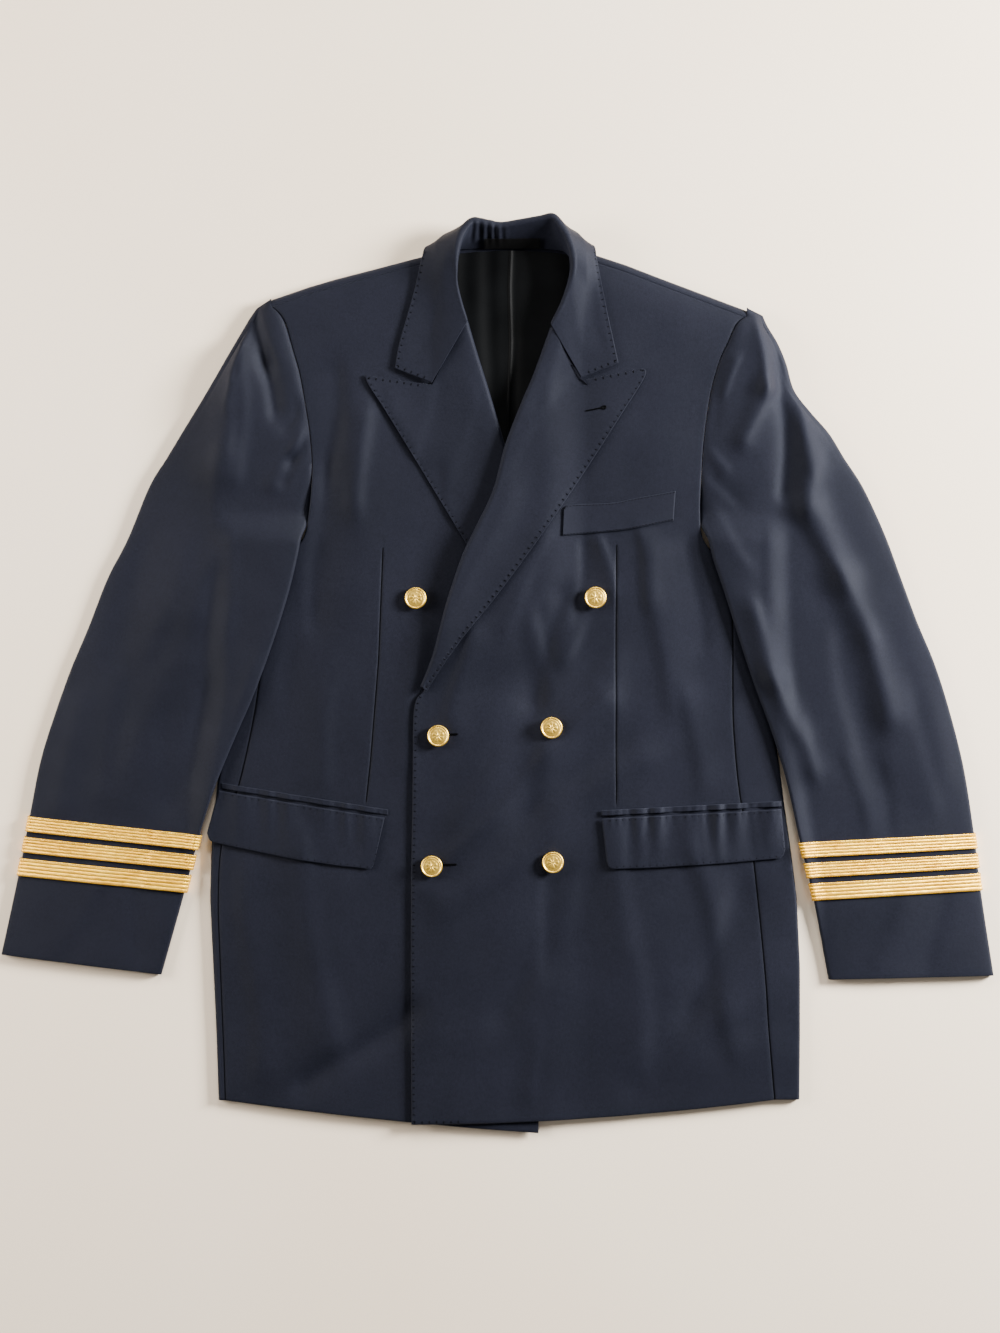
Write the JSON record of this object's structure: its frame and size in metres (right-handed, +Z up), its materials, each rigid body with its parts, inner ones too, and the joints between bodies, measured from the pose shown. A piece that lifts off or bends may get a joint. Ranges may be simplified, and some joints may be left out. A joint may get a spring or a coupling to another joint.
{
  "type": "double-breasted uniform jacket laid flat",
  "caption": "Dark navy double-breasted uniform jacket with peak lapels, gold cuff braid and metal buttons, laid flat and face up.",
  "frame": {"origin": "centre of the laid-out jacket's bounding box, on the table under it", "axes": "+X to the wearer's left across the sleeves, +Y from the hem to the collar, +Z up from the table"},
  "size_m": [0.9216, 0.8504, 0.0319],
  "materials": {
    "cloth": "woven wool serge, soft sheen",
    "lining": "smooth satin lining",
    "braid": "woven metallic thread",
    "button": "satin gilt",
    "label": "woven, blank"
  },
  "bodies": {
    "root": {"back_left": "cloth", "back_right": "cloth", "side_left": "cloth", "side_right": "cloth", "front_left": "cloth", "front_right": "cloth", "lapel_left": "cloth", "lapel_right": "cloth", "collar": "cloth", "sleeve_top_left": "cloth", "sleeve_top_right": "cloth", "sleeve_under_left": "cloth", "sleeve_under_right": "cloth", "pocket_flap_left": "cloth", "pocket_flap_right": "cloth", "pocket_jet_left": "cloth", "pocket_jet_right": "cloth", "breast_welt": "cloth", "lining_back": "lining", "label": "label", "braid_left_1": "braid", "braid_left_2": "braid", "braid_left_3": "braid", "braid_right_1": "braid", "braid_right_2": "braid", "braid_right_3": "braid", "button_top_left": "button", "button_top_right": "button", "button_middle_left": "button", "button_middle_right": "button", "button_lower_left": "button", "button_lower_right": "button"}
  },
  "joints": []
}
